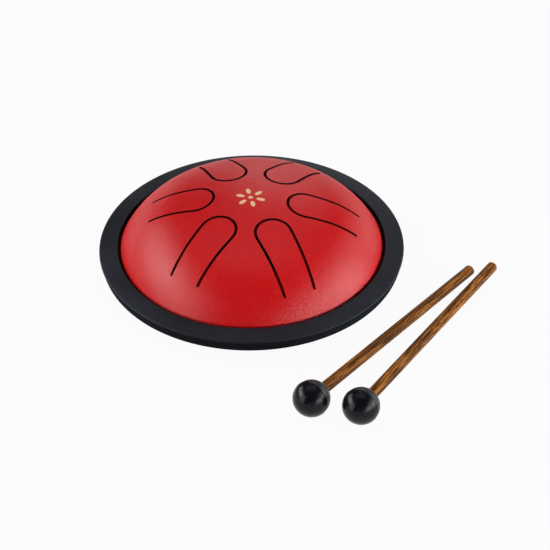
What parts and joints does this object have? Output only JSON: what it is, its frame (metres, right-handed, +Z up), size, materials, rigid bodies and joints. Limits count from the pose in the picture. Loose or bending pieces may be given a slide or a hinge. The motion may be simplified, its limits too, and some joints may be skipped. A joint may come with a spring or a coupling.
{
  "type": "tongue drum with mallets",
  "caption": "Small domed steel tongue drum with a rubber rim ring and rubber feet, lying with a pair of rubber-headed wooden mallets.",
  "frame": {"origin": "on the floor, under the middle of the box round the drum and its two mallets", "axes": "+Z up along the drum's axis, +Y away from the player, +X to the player's right, where the mallets lie"},
  "size_m": [0.2348, 0.2404, 0.0502],
  "materials": {
    "painted_steel": "satin",
    "rim_rubber": "matte",
    "foot_rubber": "matte",
    "head_rubber": "semi-gloss",
    "stick_wood": "varnished"
  },
  "bodies": {
    "drum": {"top_shell": "painted_steel", "bottom_shell": "painted_steel", "rim_ring": "rim_rubber", "foot_1": "foot_rubber", "foot_2": "foot_rubber", "foot_3": "foot_rubber", "foot_4": "foot_rubber"},
    "tongue_1": {"tongue_1": "painted_steel"},
    "tongue_2": {"tongue_2": "painted_steel"},
    "tongue_3": {"tongue_3": "painted_steel"},
    "tongue_4": {"tongue_4": "painted_steel"},
    "tongue_5": {"tongue_5": "painted_steel"},
    "tongue_6": {"tongue_6": "painted_steel"},
    "mallet_left": {"mallet_left_head": "head_rubber", "mallet_left_stick": "stick_wood"},
    "mallet_right": {"mallet_right_head": "head_rubber", "mallet_right_stick": "stick_wood"}
  },
  "joints": [
    {"name": "tongue_1_flex", "type": "hinge", "parent": "drum", "child": "tongue_1", "pos_m": [-0.00054, -0.03163, 0.02821], "axis": [0.9174, 0.3979, 0], "range_deg": [-0.5, 0.5], "stiffness_Nm_per_rad": 37.8},
    {"name": "tongue_2_flex", "type": "hinge", "parent": "drum", "child": "tongue_2", "pos_m": [0.0347, 0.02312, 0.03281], "axis": [0.1141, 0.9935, 0], "range_deg": [-0.5, 0.5], "stiffness_Nm_per_rad": 42.6},
    {"name": "tongue_3_flex", "type": "hinge", "parent": "drum", "child": "tongue_3", "pos_m": [0.00658, 0.07607, 0.03676], "axis": [-0.8033, 0.5955, 0], "range_deg": [-0.5, 0.5], "stiffness_Nm_per_rad": 49.3},
    {"name": "tongue_4_flex", "type": "hinge", "parent": "drum", "child": "tongue_4", "pos_m": [-0.04892, 0.07991, 0.0385], "axis": [-0.9174, -0.3979, 0], "range_deg": [-0.5, 0.5], "stiffness_Nm_per_rad": 53.9},
    {"name": "tongue_5_flex", "type": "hinge", "parent": "drum", "child": "tongue_5", "pos_m": [-0.08612, 0.03699, 0.03537], "axis": [-0.1141, -0.9935, 0], "range_deg": [-0.5, 0.5], "stiffness_Nm_per_rad": 46.5},
    {"name": "tongue_6_flex", "type": "hinge", "parent": "drum", "child": "tongue_6", "pos_m": [-0.06603, -0.02189, 0.03071], "axis": [0.8033, -0.5955, 0], "range_deg": [-0.5, 0.5], "stiffness_Nm_per_rad": 40.1},
    {"name": "mallet_left_lift", "type": "slide", "parent": "drum", "child": "mallet_left", "axis": [0, 0, 1], "range_m": [0, 0.1]},
    {"name": "mallet_right_lift", "type": "slide", "parent": "drum", "child": "mallet_right", "axis": [0, 0, 1], "range_m": [0, 0.1]}
  ]
}
